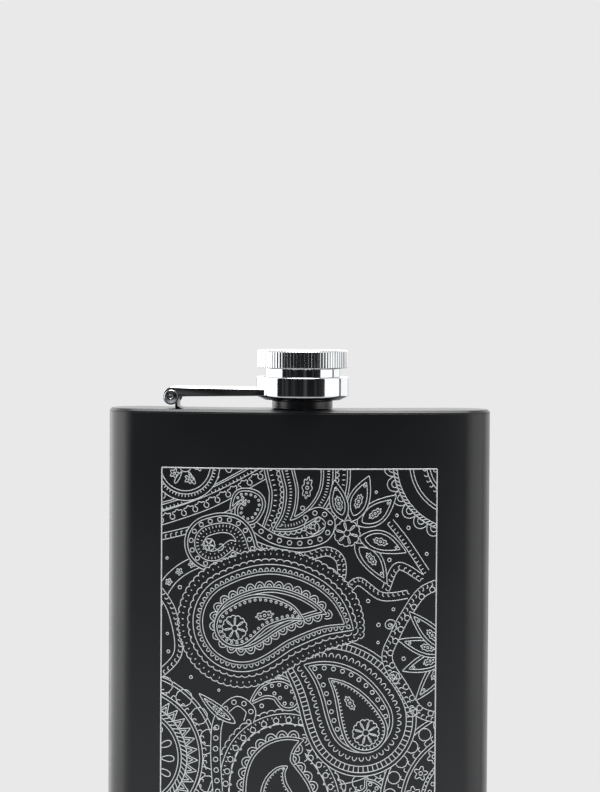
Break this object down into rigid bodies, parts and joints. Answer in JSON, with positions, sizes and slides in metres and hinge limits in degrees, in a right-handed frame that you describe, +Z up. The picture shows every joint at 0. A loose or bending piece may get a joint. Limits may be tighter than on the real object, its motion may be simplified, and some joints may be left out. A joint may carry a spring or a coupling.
{
  "type": "hip flask",
  "caption": "Curved black hip flask with an engraved front panel and a captive knurled screw cap on a hinged arm.",
  "frame": {"origin": "centre of the bounding box's bottom face, on the surface the flask stands on", "axes": "+Z up through the neck, -Y the convex engraved front, +Y the hollow back, +X the side away from the cap's hinge"},
  "size_m": [0.095, 0.0254, 0.1387],
  "materials": {
    "black_coating": "satin black coating on stainless steel sheet",
    "engraved_steel": "steel laid bare by laser, matte",
    "polished_cap": "mirror polished",
    "polished_arm": "polished, slightly worn",
    "gasket_rubber": "matte"
  },
  "bodies": {
    "flask": {"front_shell": "black_coating", "back_shell": "black_coating", "top_plate": "black_coating", "bottom_plate": "black_coating", "neck": "black_coating", "hinge_bracket": "black_coating", "hinge_pin": "polished_arm"},
    "arm": {"hinge_arm": "polished_arm", "collar": "polished_cap"},
    "cap": {"cap_shell": "polished_cap", "thread_insert": "polished_cap", "cap_gasket": "gasket_rubber"}
  },
  "joints": [
    {"name": "arm_swing", "type": "hinge", "parent": "flask", "child": "arm", "pos_m": [-0.03166, 0.00052, 0.127], "axis": [-0.0523, -0.9986, 0], "range_deg": [0, 180]},
    {"name": "cap_spin", "type": "hinge", "parent": "arm", "child": "cap", "pos_m": [0.0006, -0.00117, 0.133], "axis": [0, 0, 1], "continuous": true}
  ]
}
